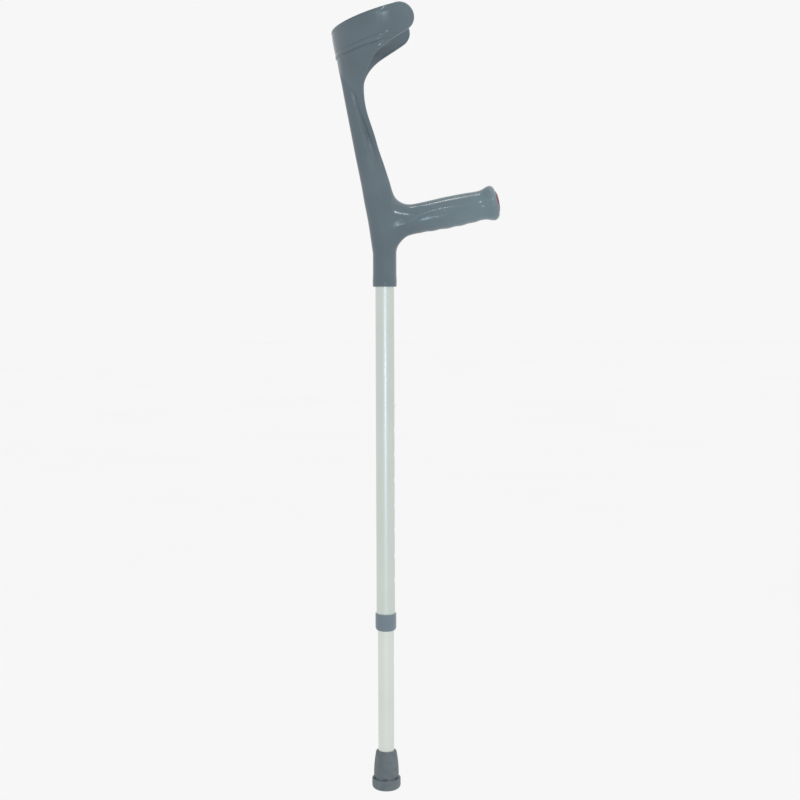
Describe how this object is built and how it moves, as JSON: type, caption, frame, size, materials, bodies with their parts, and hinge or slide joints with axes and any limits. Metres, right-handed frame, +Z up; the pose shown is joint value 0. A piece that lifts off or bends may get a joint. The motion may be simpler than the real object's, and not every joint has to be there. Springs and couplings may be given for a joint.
{
  "type": "forearm crutch",
  "caption": "Elbow crutch with a one-piece plastic cuff, upright and grip on a push-button telescopic aluminium leg with a rubber ferrule.",
  "frame": {"origin": "middle of the ferrule's foot, on the axis of the tubes, with the leg at its shortest setting", "axes": "+Z up along the tubes, +X forward along the grip, +Y to the left of the hand that holds it"},
  "size_m": [0.1974, 0.101, 0.9186],
  "materials": {
    "handle_plastic": "blue-grey moulded polypropylene, satin gloss",
    "reflector_red": "clear red, glossy",
    "rivet_aluminium": "plain",
    "tube_aluminium": "satin silver anodised",
    "collar_plastic": "blue-grey, satin",
    "bush_plastic": "black acetal",
    "button_steel": "bright plated",
    "spring_steel": "plain spring strip",
    "ferrule_rubber": "grey rubber",
    "washer_steel": "zinc plated"
  },
  "bodies": {
    "handle": {"handle_moulding": "handle_plastic", "grip_reflector": "reflector_red", "handle_rivet": "rivet_aluminium", "upper_tube": "tube_aluminium", "tube_collar": "collar_plastic"},
    "leg": {"lower_tube": "tube_aluminium", "guide_bush": "bush_plastic", "button_spring": "spring_steel", "ferrule": "ferrule_rubber", "ferrule_washer": "washer_steel"},
    "button": {"snap_button": "button_steel"}
  },
  "joints": [
    {"name": "leg_slide", "type": "slide", "parent": "handle", "child": "leg", "axis": [0, 0, -1], "range_m": [0, 0.21], "deforming": ["snap_button"]},
    {"name": "button_press", "type": "slide", "parent": "leg", "child": "button", "axis": [-1, 0, 0], "range_m": [0, 0.004], "stiffness_N_per_m": 1500, "springref_m": -0.002, "deforming": ["button_spring"]}
  ]
}
